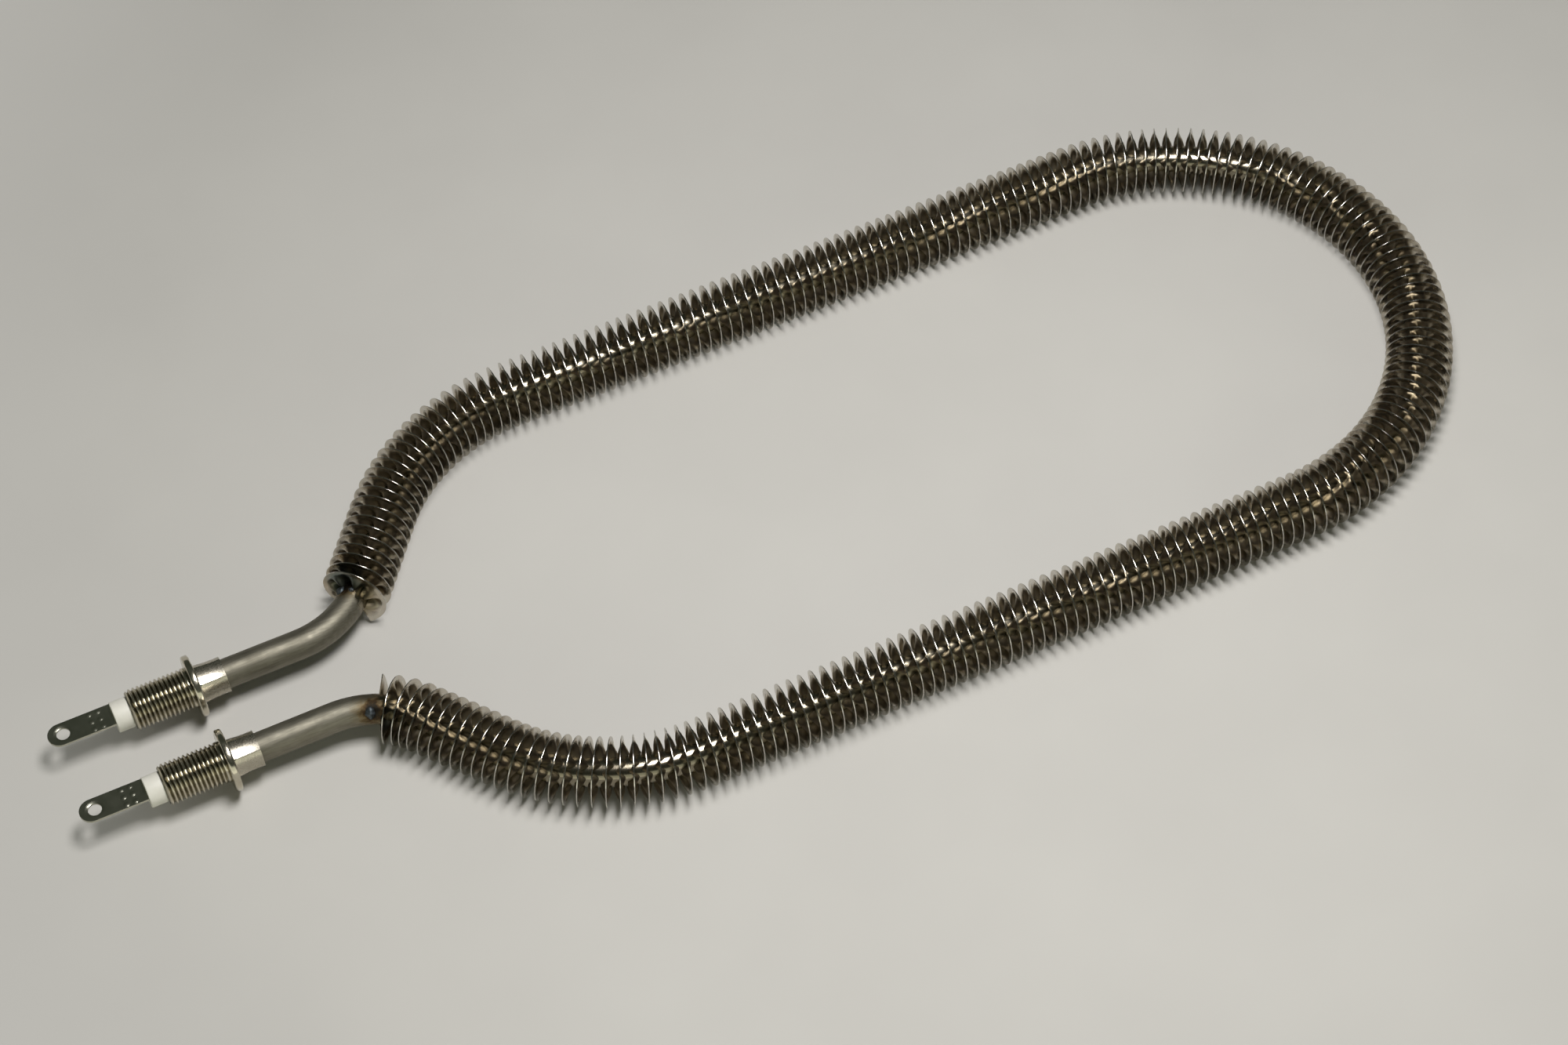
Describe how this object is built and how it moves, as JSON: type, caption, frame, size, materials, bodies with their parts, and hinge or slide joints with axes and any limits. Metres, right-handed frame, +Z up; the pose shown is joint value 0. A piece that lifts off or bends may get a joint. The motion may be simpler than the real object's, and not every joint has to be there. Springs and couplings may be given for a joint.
{
  "type": "finned fryer heating element",
  "caption": "Tubular heating element bent into a flat open loop, wound with a spiral steel fin, with threaded flanged bushings and flat terminal blades.",
  "frame": {"origin": "midway between the axes of the two fittings, in the plane of the flanges' mounting faces, at the height of the sheath's centre line", "axes": "+X from the fittings towards the closed end of the loop, +Y across the loop towards side a, +Z up, square to the loop's plane"},
  "size_m": [0.4972, 0.1864, 0.0232],
  "materials": {
    "sheath_steel": "satin drawn stainless tube",
    "fin_steel": "bright rolled stainless strip",
    "weld_metal": "dark oxidised weld bead",
    "nickel_plate": "bright nickel plate on turned steel",
    "white_ceramic": "smooth white ceramic with a soft sheen",
    "blade_steel": "bright rolled strip",
    "pin_steel": "plain drawn rod",
    "heating_wire": "dull drawn resistance wire",
    "magnesia": "packed white powder",
    "seal_resin": "matt cast resin"
  },
  "bodies": {
    "root": {"sheath_tube": "sheath_steel", "spiral_fin": "fin_steel", "fin_weld_a": "weld_metal", "fin_weld_b": "weld_metal", "bushing_a": "nickel_plate", "bushing_b": "nickel_plate", "insulator_a": "white_ceramic", "insulator_b": "white_ceramic", "terminal_blade_a": "blade_steel", "terminal_blade_b": "blade_steel", "cold_pin_a": "pin_steel", "cold_pin_b": "pin_steel", "resistance_coil": "heating_wire", "magnesia_fill": "magnesia", "end_seal_a": "seal_resin", "end_seal_b": "seal_resin"}
  },
  "joints": []
}
